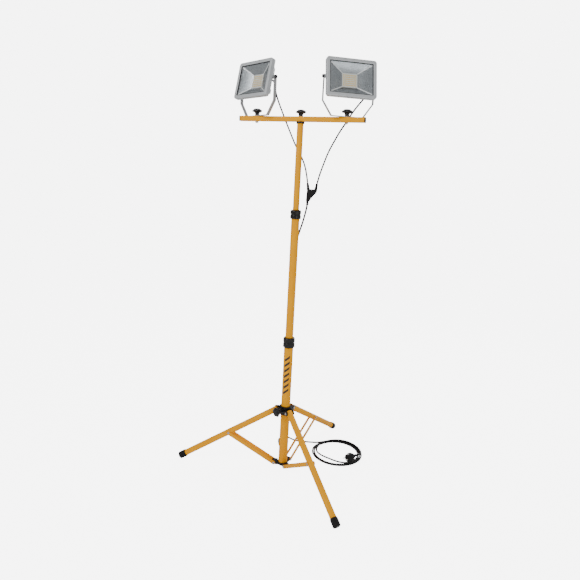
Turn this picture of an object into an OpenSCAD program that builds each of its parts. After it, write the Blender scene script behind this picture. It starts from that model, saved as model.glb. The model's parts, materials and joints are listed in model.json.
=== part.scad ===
// Twin-head LED work light on a telescopic tripod stand.
// Millimetres, +Z up. The origin is on the mast axis at floor level, the
// crossbar lies along X and the lamps face -Y.

/* [Mast] */
// Outer diameter of the lower tube
lower_d = 45; // [44:0.5:46]
// Outer diameter of the middle tube
middle_d = 38; // [37:0.5:38.5]
// Outer diameter of the top tube
top_d = 29; // [28:0.5:30]
// Wall of the round tubes
tube_wall = 1.5; // [1.2:0.1:1.8]
// Height of the lower twist lock's middle
lower_lock_z = 659; // [640:1:680]
// Height of the upper twist lock's middle
upper_lock_z = 1272; // [1240:1:1300]

/* [Crossbar] */
// Height of the crossbar's centre line
bar_z = 1690; // [1670:1:1710]
// Length of the crossbar with its end caps
bar_l = 580; // [560:2:620]
// Side of the square tube
bar_s = 22; // [20:1:24]
// Distance from the mast to each lamp bolt
lamp_x = 207; // [195:1:225]

/* [Tripod] */
// Height of the sliding hub's leg pivots
hub_z = 309; // [300:1:315]
// Height of the lower hub's brace pivots, and of the foot centres
foot_z = 22; // [21.5:0.1:22.5]
// Distance from the mast axis to every leg and brace pivot
pivot_r = 46; // [46:0.5:48]
// Distance from the mast axis to each foot's centre
foot_r = 514; // [490:1:530]
// Diameter of the leg tubes
leg_d = 30; // [29:0.5:30]
// Direction of the front leg, in degrees
leg_azimuth = -46; // [-50:1:-42]

/* [Lamps] */
// Width of a lamp's front frame
head_w = 222; // [215:1:225]
// Height of a lamp's front frame
head_h = 162; // [155:1:168]
// Height of the tilt screws above the crossbar's centre line
tilt_rise = 168; // [162:1:175]
// Turn of the left lamp away from straight ahead
left_turn = 28.3; // [0:0.1:60]
// Turn of the right lamp away from straight ahead
right_turn = 30.6; // [0:0.1:60]
// Upward pitch of both lamps
head_pitch = 12; // [0:1:30]

/* [Cord] */
// Diameter of the mains cord
cord_d = 8.5; // [7.5:0.5:9]
// Diameter of the two lamp pigtails
pigtail_d = 7.5; // [6.5:0.5:7.5]

/* [Hidden] */
$fn = 48;

yellow = "gold";
dark = [0.12, 0.12, 0.13];
silver = [0.75, 0.77, 0.79];

// Gap between parts that move past each other, and between a pin and its hole
clear = 0.3;
pin_clear = 0.1;
// Gap between the crossbar and a yoke's base
seat = 0.15;

// Mast stations
tube_foot_z = 27;
lower_top_z = lower_lock_z + 9;
middle_foot_z = 598;
middle_top_z = upper_lock_z + 7;
top_foot_z = 1203;
// Visible thickness of a bar end cap
cap_t = 5;
bar_bottom = bar_z - bar_s / 2;
bar_top = bar_z + bar_s / 2;
plug_rim_h = 8;

// Tripod: equal leg and brace lengths keep the hub on the mast through the fold
leg_rise = hub_z - foot_z;
leg_reach = foot_r - pivot_r;
leg_len = sqrt(leg_rise * leg_rise + leg_reach * leg_reach);
leg_angle = atan2(leg_reach, leg_rise);
brace_len = leg_len / 2;
leg_end = 7;
foot_od = leg_d + 6;
foot_half = 19;
brace_w = 18;
brace_t = 3;
bolt_r = 3;

// Lamps, in a frame on the tilt axis with the face toward -Y
face_y = -34;
face_drop = -9.5;
skirt_back_y = -12;
tray_y = 8;
tray_w = 200;
tray_h = 144;
pocket_y = 30;
pocket_w = 80;
pocket_h = 76;
window_w = head_w - 30;
window_h = head_h - 30;
arm_x = head_w / 2 + 2;
yoke_w = 16;
yoke_t = 3;
yoke_base = 73;
yoke_bend = 60;
gland_x = pocket_w / 2;
gland_y = 19;
gland_l = 15;
// How far below a gland the fins are cut away for the pigtail
gland_room = 45;
tilt_z = bar_z + tilt_rise;

// Cord routes: round numbers chosen by hand, as world points. Each pigtail
// starts just off its gland's end face and stops in the splitter.
left_route = [
    [-149.6, -9.8, 1854], [-146, -11.8, 1854], [-135.5, -17, 1851.6], [-126.4, -21.5, 1844.6],
    [-120, -24.5, 1834], [-117, -25.5, 1822], [-115, -23, 1807], [-113, -16, 1791],
    [-110, -6, 1775], [-104, 4, 1754], [-95, 12, 1730], [-85, 17.5, 1705], [-74, 20, 1681],
    [-52, 23, 1634], [-26, 25, 1582], [4, 24, 1534], [25, 22, 1490], [36, 21, 1450],
    [43, 21, 1414]
];
right_route = [
    [245.1, 44.1, 1854], [248.3, 46, 1854], [258.8, 52.2, 1851.6], [267.6, 57.4, 1844.6],
    [273, 61.5, 1834], [275, 63.5, 1821], [273, 64, 1807], [267, 63, 1793], [258, 60, 1779],
    [246, 54, 1762], [234, 46.5, 1744], [221, 38, 1722], [209, 31, 1700], [198, 26, 1679],
    [176, 23, 1643], [153, 22, 1600], [130, 22, 1553], [111, 22, 1500], [96, 21, 1452],
    [87, 21, 1414]
];
main_route = [
    [46, 21, 1318], [43, 22, 1297], [37, 23, 1270], [28, 26, 1236], [15, 29, 1195],
    [2, 32, 1154], [-9, 33, 1112], [-15, 32, 1066], [-19, 30, 1000], [-20, 29, 900],
    [-21, 28, 780], [-21, 28, 660], [-21, 28, 540], [-21, 28, 400], [-21, 28, 280],
    [-21, 28, 160], [-21, 29, 100], [-23, 33, 66], [-27, 42, 36], [-32, 60, 13],
    [-38, 86, 5], [-50, 124, 5], [-70, 166, 5], [-89, 203, 5], [-101, 235, 5],
    [-102, 252, 5], [-95, 269, 5], [-82, 280, 5], [-65, 284, 5], [-49, 280, 5],
    [-35, 273, 5], [-11, 267, 5], [13, 269, 5], [38, 273, 5], [68, 280, 5], [96, 288, 5],
    [118, 300, 5]
];

// Coil and plug on the floor
coil_x = 232;
coil_y = 230;
coil_in_r = 86;
coil_out_r = 134;
coil_h = 17;
plug_x = 317;
plug_y = 142;
plug_z = 43;
plug_turn = 52;

// Places a lamp's parts on the tilt axis of side -1 (left) or 1 (right)
module yaw_place(side) {
    turn = side < 0 ? -left_turn : right_turn;
    translate([side * lamp_x, 0, 0]) rotate([0, 0, turn]) children();
}
module head_place(side) {
    yaw_place(side) translate([0, 0, tilt_z]) rotate([-head_pitch, 0, 0]) children();
}

// Places a leg's parts: X runs outward from the mast, in leg k's plane
module leg_plane(k) {
    rotate([0, 0, leg_azimuth + 120 * k]) children();
}

module tube(d, wall, z0, z1) {
    translate([0, 0, z0]) difference() {
        cylinder(d = d, h = z1 - z0);
        translate([0, 0, -1]) cylinder(d = d - 2 * wall, h = z1 - z0 + 2);
    }
}

// Flat rectangle with round corners
module rounded(w, h, r) {
    square([w - 2 * r, h], center = true);
    square([w, h - 2 * r], center = true);
    for (x = [-1, 1], y = [-1, 1])
        translate([x * (w / 2 - r), y * (h / 2 - r)]) circle(r = r, $fn = 24);
}

// Rounded block standing on the XZ plane between two depths
module slab(w, h, r, y0, y1) {
    translate([0, y1, face_drop]) rotate([90, 0, 0])
        linear_extrude(height = y1 - y0) rounded(w, h, r);
}

// Cylinder along X, centred
module x_rod(r, l) { rotate([0, 90, 0]) cylinder(r = r, h = l, center = true); }
// Cylinder along Y, centred
module y_rod(r, l) { rotate([90, 0, 0]) cylinder(r = r, h = l, center = true); }

// ---- Mast ----
module lower_tube() {
    color(yellow) tube(lower_d, tube_wall, tube_foot_z, lower_top_z);
}

module lower_hub() {
    plug_d = lower_d - 2 * tube_wall - 0.2;
    lug_h = 18;
    color(dark) {
        translate([0, 0, foot_z - lug_h / 2 - 1]) cylinder(d = 50, h = tube_foot_z - foot_z + lug_h / 2 + 1);
        translate([0, 0, tube_foot_z - 2]) cylinder(d = plug_d, h = 24);
        for (k = [0:2]) leg_plane(k) translate([0, leg_d / 2, foot_z]) rotate([90, 0, 0])
            linear_extrude(height = leg_d) difference() {
                union() {
                    translate([17, -lug_h / 2]) square([pivot_r - 17, lug_h - 6]);
                    translate([27, -lug_h / 2]) square([pivot_r - 27, lug_h]);
                    translate([pivot_r, 0]) circle(d = lug_h);
                }
                translate([pivot_r, 0]) circle(r = bolt_r + pin_clear);
            }
    }
}

// Bolt along Y with a dome head and a nut
module cross_bolt(r, grip, head_r, head_h) {
    y_rod(r, grip + 2 * head_h);
    for (s = [-1, 1]) translate([0, s * (grip + head_h) / 2, 0]) y_rod(head_r, head_h);
}

module lower_hub_bolts() {
    color(silver) for (k = [0:2]) leg_plane(k) translate([pivot_r, 0, foot_z])
        cross_bolt(bolt_r, leg_d + 2 * clear + 2 * brace_t + 2 * clear, 6, 4);
}

// Slotted nylon sleeve that a twist lock squeezes onto the inner tube
module collet(outer_d, inner_d, z_top, skirt) {
    bore = inner_d / 2 + 0.15;
    seat = outer_d / 2 - tube_wall - 0.1;
    color([0.85, 0.85, 0.82]) difference() {
        rotate_extrude() polygon([
            [bore, z_top - skirt], [seat, z_top - skirt], [seat, z_top + 0.1],
            [outer_d / 2, z_top + 0.1], [outer_d / 2, z_top + 8], [bore, z_top + 8]
        ]);
        for (a = [0:90:270]) rotate([0, 0, a])
            translate([0, -1, z_top + 2]) cube([outer_d, 2, 10]);
    }
}

module lock_ring(d, h, z, outer_d, inner_d, tube_top) {
    bottom = z - h / 2;
    top = z + h / 2;
    bore = outer_d / 2 + clear;
    mouth = inner_d / 2 + 2 * clear;
    color(dark) difference() {
        rotate_extrude() polygon([
            [bore, bottom], [d / 2 - 3, bottom], [d / 2, bottom + 3],
            [d / 2, z - 5], [d / 2 - 2, z - 3], [d / 2 - 2, z + 1], [d / 2, z + 3],
            [d / 2, top - 5], [d / 2 - 4, top], [mouth, top],
            [mouth, tube_top + 11], [bore + 1, tube_top + 9], [bore + 1, tube_top - 2],
            [bore, tube_top - 4]
        ]);
        for (a = [0:30:330]) rotate([0, 0, a])
            translate([d / 2 + 1.5, 0, bottom - 1]) cylinder(r = 3, h = h / 2 - 5, $fn = 24);
    }
}

module lower_collet() { collet(lower_d, middle_d, lower_top_z, 40); }
module lower_lock_ring() { lock_ring(57, 49, lower_lock_z, lower_d, middle_d, lower_top_z); }

module middle_tube() {
    color(yellow) tube(middle_d, tube_wall, middle_foot_z, middle_top_z);
}

// Guide bush on the foot of an inner tube
module bush(outer_d, inner_d, z) {
    color([0.85, 0.85, 0.82]) tube(outer_d, (outer_d - inner_d) / 2, z, z + 25);
}
module middle_bush() { bush(lower_d - 2 * tube_wall - 0.4, middle_d, middle_foot_z + 2); }
module upper_collet() { collet(middle_d, top_d, middle_top_z, 40); }
module upper_lock_ring() { lock_ring(50, 41, upper_lock_z, middle_d, top_d, middle_top_z); }

module top_tube() {
    color(yellow) tube(top_d, tube_wall, top_foot_z, bar_bottom - plug_rim_h);
}
module top_bush() { bush(middle_d - 2 * tube_wall - 0.4, top_d, top_foot_z + 2); }

module top_plug() {
    color(dark) difference() {
        union() {
            translate([0, 0, bar_bottom - plug_rim_h]) cylinder(d = 36, h = plug_rim_h);
            translate([0, 0, bar_bottom - 45])
                cylinder(d = top_d - 2 * tube_wall - 0.2, h = 45);
        }
        translate([0, 0, bar_bottom - 40]) cylinder(r = 4 + pin_clear, h = 41);
    }
}

// ---- Crossbar ----
module crossbar() {
    inner = bar_s - 2 * tube_wall;
    color(yellow) difference() {
        translate([-bar_l / 2 + cap_t, 0, bar_z]) rotate([90, 0, 90])
            linear_extrude(height = bar_l - 2 * cap_t) difference() {
                rounded(bar_s, bar_s, 2);
                rounded(inner, inner, 1);
            }
        for (x = [-lamp_x, 0, lamp_x]) translate([x, 0, bar_bottom - 1])
            cylinder(r = 4 + pin_clear, h = bar_s + 2);
    }
}

module bar_end_caps() {
    inner = bar_s - 2 * tube_wall - 0.2;
    color(dark) for (s = [-1, 1]) translate([s * (bar_l / 2 - cap_t), 0, bar_z])
        rotate([90, 0, 90 * s]) {
            linear_extrude(height = cap_t) rounded(bar_s, bar_s, 2);
            translate([0, 0, -12]) linear_extrude(height = 12.5) rounded(inner, inner, 1);
        }
}

// Hex nuts under the crossbar, one for each lamp bolt
module bar_nuts() {
    color(silver) for (x = [-lamp_x, lamp_x]) translate([x, 0, bar_bottom - 6.5]) difference() {
        cylinder(d = 15, h = 6.5, $fn = 6);
        translate([0, 0, -1]) cylinder(r = 4 + pin_clear, h = 9);
    }
}

// Lobed hand knob with its steel stud, standing on z = 0
module knob(stud_l) {
    color(dark) {
        cylinder(r1 = 9, r2 = 11, h = 14);
        translate([0, 0, 12]) cylinder(r = 19.5, h = 12);
        for (a = [15:60:315]) rotate([0, 0, a])
            translate([18, 0, 14]) cylinder(r = 6.5, h = 9.5, $fn = 24);
        translate([0, 0, 23]) cylinder(r1 = 17, r2 = 12, h = 6);
    }
    color(silver) translate([0, 0, -stud_l]) cylinder(r = 4, h = stud_l + 3);
}

module left_knob() { translate([-lamp_x, 0, bar_top + yoke_t]) knob(bar_s + yoke_t + 8); }
module centre_knob() { translate([0, 0, bar_top]) knob(bar_s + 32); }
module right_knob() { translate([lamp_x, 0, bar_top + yoke_t]) knob(bar_s + yoke_t + 8); }

// ---- Yokes ----
// Bent flat strip: a base bolted to the bar and two arms with round ends
module yoke(side) {
    slope = yoke_t * 0.9;
    outer = arm_x + yoke_t / 2;
    inner = arm_x - yoke_t / 2;
    color(silver) yaw_place(side) difference() {
        union() {
            translate([0, yoke_w / 2, 0]) rotate([90, 0, 0]) linear_extrude(height = yoke_w) {
                translate([-yoke_base, bar_top + seat]) square([2 * yoke_base, yoke_t - seat]);
                for (s = [0, 1]) mirror([s, 0]) polygon([
                    [yoke_base, bar_top + seat], [outer, bar_top + yoke_bend], [outer, tilt_z],
                    [inner, tilt_z], [inner, bar_top + yoke_bend + 1],
                    [yoke_base - slope, bar_top + yoke_t], [yoke_base - slope, bar_top + seat]
                ]);
            }
            for (s = [-1, 1]) translate([s * arm_x, 0, tilt_z]) x_rod(yoke_w / 2, yoke_t);
        }
        translate([0, 0, bar_top - 1]) cylinder(r = 4 + pin_clear, h = yoke_t + 2);
        translate([0, 0, tilt_z]) x_rod(3 + pin_clear, 2 * arm_x + 10);
    }
}
module left_yoke() { yoke(-1); }
module right_yoke() { yoke(1); }

// ---- Lamp head ----
// Die-cast body: tapered tray, finned back and driver pocket
module housing(side) {
    fin_top = 62;
    color(silver) head_place(side) difference() {
        union() {
            hull() {
                slab(tray_w, tray_h, 8, skirt_back_y - 14, skirt_back_y);
                slab(tray_w - 24, tray_h - 24, 8, tray_y - 1, tray_y);
            }
            slab(pocket_w, pocket_h, 6, tray_y - 1, pocket_y);
            for (x = [-77:11:77]) if (abs(x) > pocket_w / 2 + 3)
                translate([x - 1.5, tray_y - 1, face_drop - fin_top + 6])
                    cube([3, 13, 2 * (fin_top - 6)]);
            for (s = [-1, 1]) translate([s * (arm_x - 12.5), 0, 0]) x_rod(8, 21);
        }
        hull() {
            slab(tray_w - 6, tray_h - 6, 6, skirt_back_y - 15, skirt_back_y);
            slab(tray_w - 30, tray_h - 30, 6, tray_y - 5, tray_y - 4);
        }
        slab(pocket_w - 6, pocket_h - 6, 4, tray_y - 5, pocket_y - 3);
        for (s = [-1, 1]) translate([s * (arm_x - 9), 0, 0]) x_rod(3, 21);
        translate([gland_x, gland_y, 0]) x_rod(6, 12);
        translate([gland_x + 1.5, tray_y + 0.5, -gland_room]) cube([50, 30, gland_room + 14]);
    }
}

module bezel(side) {
    color(silver) head_place(side) difference() {
        slab(head_w, head_h, 12, face_y, skirt_back_y);
        slab(window_w, window_h, 4, face_y - 1, face_y + 3);
        slab(tray_w + 9, tray_h + 5, 8, face_y + 2, face_y + 8.2);
        slab(tray_w + 0.4, tray_h + 0.4, 8, face_y + 8, skirt_back_y + 1);
    }
}

module gasket(side) {
    color(dark) head_place(side) difference() {
        slab(window_w + 13, window_h + 13, 8, face_y + 2, face_y + 8);
        slab(window_w - 4, window_h - 4, 3, face_y + 1, face_y + 9);
        slab(window_w + 9, window_h + 9, 6, face_y + 3, face_y + 7);
    }
}

module glass(side) {
    color([0.8, 0.9, 0.92, 0.4]) head_place(side)
        slab(window_w + 9, window_h + 9, 6, face_y + 3, face_y + 7);
}

// Four-sided metal reflector: an open pyramid with a mounting rim
module reflector(side) {
    front_w = window_w - 3;
    front_h = window_h - 3;
    back_w = 68;
    back_h = 59;
    y_front = face_y + 8;
    y_back = 0;
    color([0.85, 0.87, 0.88]) head_place(side) difference() {
        union() {
            hull() {
                slab(front_w, front_h, 2, y_front + 0.2, y_front + 0.7);
                slab(back_w + 2, back_h + 2, 2, y_back - 0.5, y_back);
            }
        }
        hull() {
            slab(front_w - 2, front_h - 2, 2, y_front - 0.2, y_front + 0.3);
            slab(back_w, back_h, 2, y_back - 0.3, y_back + 0.2);
        }
    }
}

// Aluminium board with rows of chips
module led_board(side) {
    color([0.92, 0.92, 0.88]) head_place(side) {
        slab(94, 84, 3, 0.3, 2.3);
        for (c = [0:8], r = [0:5])
            translate([(c - 4) * 6.8 - 2, -0.5, face_drop + (r - 2.5) * 8.4 - 1.5])
                cube([4, 1, 3]);
    }
}

module driver(side) {
    color("ivory") head_place(side) slab(62, 56, 4, tray_y, pocket_y - 4);
}

module tilt_screws(side) {
    color(dark) head_place(side) for (s = [-1, 1]) {
        translate([s * (arm_x - 8.5), 0, 0]) x_rod(3, 21);
        translate([s * (arm_x + 4.3), 0, 0]) x_rod(7, 5);
    }
}

module gland(side) {
    color(dark) head_place(side) translate([gland_x, gland_y, 0]) rotate([0, 90, 0]) difference() {
        union() {
            translate([0, 0, -4]) cylinder(r = 6, h = 5);
            cylinder(d = 17, h = 5, $fn = 6);
            translate([0, 0, 5]) cylinder(r1 = 7.5, r2 = 5.5, h = gland_l - 5);
        }
        translate([0, 0, -5]) cylinder(r = 2.5, h = 6);
    }
}

module left_housing() { housing(-1); }
module left_bezel() { bezel(-1); }
module left_gasket() { gasket(-1); }
module left_glass() { glass(-1); }
module left_reflector() { reflector(-1); }
module left_led_board() { led_board(-1); }
module left_driver() { driver(-1); }
module left_tilt_screws() { tilt_screws(-1); }
module left_gland() { gland(-1); }
module right_housing() { housing(1); }
module right_bezel() { bezel(1); }
module right_gasket() { gasket(1); }
module right_glass() { glass(1); }
module right_reflector() { reflector(1); }
module right_led_board() { led_board(1); }
module right_driver() { driver(1); }
module right_tilt_screws() { tilt_screws(1); }
module right_gland() { gland(1); }

// ---- Tripod ----
// Sliding hub: a sleeve with three pairs of ears and a boss for the clamp knob
module upper_hub() {
    ear_t = 5;
    gap = leg_d / 2 + clear;
    boss_a = leg_azimuth - 69;
    color(dark) difference() {
        union() {
            translate([0, 0, hub_z - 20]) cylinder(r = 28.8, h = 42);
            for (k = [0:2], s = [-1, 1]) leg_plane(k)
                translate([0, s * (gap + ear_t / 2), hub_z]) {
                    translate([pivot_r / 2 + 5, 0, 0]) cube([pivot_r - 10, ear_t, 24], center = true);
                    translate([pivot_r, 0, 0]) y_rod(12, ear_t);
                }
            rotate([0, 0, boss_a]) translate([22, 0, hub_z + 4]) rotate([0, 90, 0])
                cylinder(r = 10, h = 24);
        }
        translate([0, 0, hub_z - 21]) cylinder(d = lower_d + 2 * clear, h = 44);
        for (k = [0:2]) leg_plane(k) translate([pivot_r, 0, hub_z])
            y_rod(bolt_r + pin_clear, 60);
        rotate([0, 0, boss_a]) translate([20, 0, hub_z + 4]) rotate([0, 90, 0])
            cylinder(r = 4 + pin_clear, h = 40);
    }
}

module hub_bolts() {
    color(silver) for (k = [0:2]) leg_plane(k) translate([pivot_r, 0, hub_z])
        cross_bolt(bolt_r, leg_d + 2 * clear + 10 + 2 * clear, 6, 4);
}

module hub_knob() {
    rotate([0, 0, leg_azimuth - 69]) translate([46.5, 0, hub_z + 4]) rotate([0, 90, 0])
        knob(23.5);
}

module leg_axis(k, a = leg_angle) {
    leg_plane(k) translate([pivot_r, 0, hub_z]) rotate([0, 180 - a, 0]) children();
}

module leg(k) {
    color(yellow) leg_axis(k) difference() {
        tube(leg_d, tube_wall, -leg_end, leg_len + foot_half - 3.5);
        y_rod(bolt_r + (k == 0 ? pin_clear : 2.5 * pin_clear), leg_d + 2);
        translate([0, 0, brace_len]) y_rod(bolt_r + pin_clear, leg_d + 2);
    }
}

// Rubber foot with a flat sole
module foot(k) {
    color(dark) difference() {
        leg_axis(k) translate([0, 0, leg_len - foot_half]) difference() {
            cylinder(d = foot_od, h = 2 * foot_half);
            translate([0, 0, -1]) cylinder(d = leg_d + 0.2, h = 2 * foot_half - 2);
        }
        leg_plane(k) translate([foot_r - 60, -30, -40]) cube([120, 60, 40]);
    }
}

module rivet(k) {
    color(silver) leg_axis(k) translate([0, 0, brace_len])
        cross_bolt(bolt_r, leg_d + 4 * clear + 2 * brace_t, 5.5, 3);
}

// Pair of flat strips from the lower hub to the middle of a leg
module braces(k) {
    color(yellow) leg_plane(k) translate([pivot_r, 0, foot_z]) rotate([0, leg_angle, 0])
        for (s = [-1, 1]) translate([0, s * (leg_d / 2 + clear + brace_t / 2), 0])
            rotate([90, 0, 0]) translate([0, 0, -brace_t / 2]) linear_extrude(height = brace_t)
                difference() {
                    union() {
                        translate([-brace_w / 2, 0]) square([brace_w, brace_len]);
                        for (y = [0, brace_len]) translate([0, y]) circle(d = brace_w);
                    }
                    for (y = [0, brace_len]) translate([0, y]) circle(r = bolt_r + pin_clear);
                }
}

module front_leg() { leg(0); }
module back_leg() { leg(1); }
module left_leg() { leg(2); }
module front_foot() { foot(0); }
module back_foot() { foot(1); }
module left_foot() { foot(2); }
module front_rivet() { rivet(0); }
module back_rivet() { rivet(1); }
module left_rivet() { rivet(2); }
module front_braces() { braces(0); }
module back_braces() { braces(1); }
module left_braces() { braces(2); }

// ---- Cords ----
function unit(v) = v / norm(v);
function tangent(p, i) = unit(p[min(i + 1, len(p) - 1)] - p[max(i - 1, 0)]);
// Turns a frame's side vector so that it stays square to the next tangent
function carry(side, t) = unit(side - (side * t) * t);
function sides(p, i, s) =
    i == len(p) ? [] : let (n = carry(s, tangent(p, i))) concat([n], sides(p, i + 1, n));

// Tube of n sides swept along a list of points
module sweep(p, r, n = 8) {
    side = sides(p, 0, [0.31, 0.95, 0.05]);
    ring = [for (i = [0:len(p) - 1]) let (t = tangent(p, i), a = side[i], b = cross(t, a))
        for (j = [0:n - 1]) p[i] + r * (cos(360 * j / n) * a + sin(360 * j / n) * b)];
    last = (len(p) - 1) * n;
    polyhedron(ring, concat(
        [[for (j = [0:n - 1]) n - 1 - j]],
        [[for (j = [0:n - 1]) last + j]],
        [for (i = [0:len(p) - 2], j = [0:n - 1])
            [i * n + j, i * n + (j + 1) % n, (i + 1) * n + (j + 1) % n, (i + 1) * n + j]]
    ));
}

module left_pigtail() { color(dark) sweep(left_route, pigtail_d / 2); }
module right_pigtail() { color(dark) sweep(right_route, pigtail_d / 2); }
module main_cord() { color(dark) sweep(main_route, cord_d / 2); }

// Moulded joint where the two pigtails meet the main cord
module splitter() {
    color(dark) translate([0, 21, 0]) {
        hull() {
            translate([65, 0, 1378]) cube([46, 17, 16], center = true);
            translate([50, 0, 1340]) cube([19, 15, 8], center = true);
        }
        translate([46, 0, 1320]) cylinder(r1 = 5.5, r2 = 7.2, h = 22);
        translate([48, 0, 1384]) rotate([0, -9.5, 0]) cylinder(r = 6.2, h = 30.4);
        translate([82, 0, 1384]) rotate([0, 9.5, 0]) cylinder(r = 6.2, h = 30.4);
    }
}

module cord_coil() {
    color(dark) translate([coil_x, coil_y, 0.5]) rotate_extrude()
        translate([coil_in_r, 0]) square([coil_out_r - coil_in_r, coil_h]);
}

// Round earthed plug lying on the coil, its two pins to the left
module plug() {
    translate([plug_x, plug_y, plug_z]) rotate([0, -90, plug_turn]) {
        color(dark) {
            translate([0, 0, 4]) cylinder(r = 19.5, h = 13);
            translate([0, 0, -10]) cylinder(r = 22.5, h = 14.5);
            translate([0, 0, -26]) cylinder(r1 = 13, r2 = 22.5, h = 16.5);
            translate([0, 0, -48]) cylinder(r1 = 5.5, r2 = 8, h = 22.5);
        }
        color(silver) for (s = [-1, 1]) translate([0, s * 9.5, 15]) cylinder(r = 2.4, h = 21);
    }
}

lower_tube();
lower_hub();
lower_hub_bolts();
lower_collet();
lower_lock_ring();
middle_tube();
middle_bush();
upper_collet();
upper_lock_ring();
top_tube();
top_bush();
top_plug();
crossbar();
bar_end_caps();
bar_nuts();
left_knob();
centre_knob();
right_knob();
left_yoke();
right_yoke();
left_housing();
left_bezel();
left_gasket();
left_glass();
left_reflector();
left_led_board();
left_driver();
left_tilt_screws();
left_gland();
right_housing();
right_bezel();
right_gasket();
right_glass();
right_reflector();
right_led_board();
right_driver();
right_tilt_screws();
right_gland();
upper_hub();
hub_bolts();
hub_knob();
front_leg();
back_leg();
left_leg();
front_foot();
back_foot();
left_foot();
front_rivet();
back_rivet();
left_rivet();
front_braces();
back_braces();
left_braces();
left_pigtail();
right_pigtail();
splitter();
main_cord();
cord_coil();
plug();
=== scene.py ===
"""Looks of a twin-head LED work light on a telescopic tripod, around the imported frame. Metres, +Z up."""

import json
import math

import bmesh
import bpy
from mathutils import Matrix, Vector

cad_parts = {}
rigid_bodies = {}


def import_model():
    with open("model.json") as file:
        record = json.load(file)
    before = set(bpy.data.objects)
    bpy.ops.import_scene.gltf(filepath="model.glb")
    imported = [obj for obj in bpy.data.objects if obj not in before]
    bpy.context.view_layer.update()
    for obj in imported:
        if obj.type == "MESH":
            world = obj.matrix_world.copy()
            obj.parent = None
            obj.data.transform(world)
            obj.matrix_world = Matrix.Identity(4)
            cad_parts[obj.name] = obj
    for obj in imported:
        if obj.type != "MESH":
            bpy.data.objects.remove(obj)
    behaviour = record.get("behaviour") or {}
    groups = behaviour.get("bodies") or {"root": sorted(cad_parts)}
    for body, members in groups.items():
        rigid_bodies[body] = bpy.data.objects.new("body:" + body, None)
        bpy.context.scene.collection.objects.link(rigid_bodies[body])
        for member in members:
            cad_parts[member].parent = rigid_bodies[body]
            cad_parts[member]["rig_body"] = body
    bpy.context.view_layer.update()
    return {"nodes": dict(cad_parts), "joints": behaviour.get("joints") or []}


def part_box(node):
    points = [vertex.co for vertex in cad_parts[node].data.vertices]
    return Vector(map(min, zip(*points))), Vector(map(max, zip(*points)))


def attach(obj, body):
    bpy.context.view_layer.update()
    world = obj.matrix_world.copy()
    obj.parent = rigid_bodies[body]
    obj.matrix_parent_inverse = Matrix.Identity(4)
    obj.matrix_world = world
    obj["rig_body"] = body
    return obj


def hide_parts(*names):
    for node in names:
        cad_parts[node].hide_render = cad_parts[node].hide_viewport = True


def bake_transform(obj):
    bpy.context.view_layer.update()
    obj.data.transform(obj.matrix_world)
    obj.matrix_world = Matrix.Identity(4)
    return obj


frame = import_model()
joint = {j["name"]: j for j in frame["joints"]}


def at(name):
    """Where a joint is."""
    return Vector(joint[name]["pos_m"])


def axis(name):
    """A joint's direction."""
    return Vector(joint[name]["axis"]).normalized()


# ---- Camera, backdrop and lights ----
CAMERA_AT = (0.683, -2.257, 1.410)
CAMERA_YAW = math.radians(17.03)
CAMERA_PITCH = math.radians(-11.82)
CAMERA_ROLL = math.radians(2.96)
# Lens and sensor width, in millimetres
CAMERA_LENS = 31.57
CAMERA_SENSOR = 36
# How bright the paper and the sky look to the camera, and how strongly each of them lights the object
SEEN_GLOW = 6.0
PAPER_LIGHT = 0.05
SKY_LIGHT = 0.5


def make_camera():
    """The camera, from its place, its three angles and its lens."""
    forward = Vector((
        -math.sin(CAMERA_YAW) * math.cos(CAMERA_PITCH),
        math.cos(CAMERA_YAW) * math.cos(CAMERA_PITCH),
        math.sin(CAMERA_PITCH),
    ))
    right = Vector((math.cos(CAMERA_YAW), math.sin(CAMERA_YAW), 0))
    up = right.cross(forward)
    rolled = right * math.cos(CAMERA_ROLL) + up * math.sin(CAMERA_ROLL)
    upright = up * math.cos(CAMERA_ROLL) - right * math.sin(CAMERA_ROLL)
    data = bpy.data.cameras.new("camera")
    data.lens = CAMERA_LENS
    data.sensor_width = CAMERA_SENSOR
    camera = bpy.data.objects.new("camera", data)
    turn = Matrix((rolled, upright, -forward)).transposed().to_4x4()
    camera.matrix_world = Matrix.Translation(CAMERA_AT) @ turn
    bpy.context.scene.collection.objects.link(camera)
    bpy.context.scene.camera = camera


def area_light(name, place, target, size, power):
    """A square light at place that looks at target."""
    data = bpy.data.lights.new(name, "AREA")
    data.size = size
    data.energy = power
    lamp = bpy.data.objects.new(name, data)
    lamp.location = place
    lamp.rotation_euler = (Vector(target) - Vector(place)).to_track_quat("-Z", "Y").to_euler()
    bpy.context.scene.collection.objects.link(lamp)


def glow(tree, light):
    """A strength that is light for the object and SEEN_GLOW for the camera."""
    path = node_of(tree, "ShaderNodeLightPath")
    return spread(tree, path.outputs["Is Camera Ray"], light, SEEN_GLOW, 0.0, 1.0)


def paper_of(name):
    """Matt white paper."""
    made = bpy.data.materials.new(name)
    made.use_nodes = True
    tree = made.node_tree
    shader = tree.nodes["Principled BSDF"]
    shader.inputs["Base Color"].default_value = (0.95, 0.95, 0.95, 1)
    shader.inputs["Emission Color"].default_value = (1, 1, 1, 1)
    tree.links.new(glow(tree, PAPER_LIGHT), shader.inputs["Emission Strength"])
    shader.inputs["Roughness"].default_value = 0.9
    return made


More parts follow.
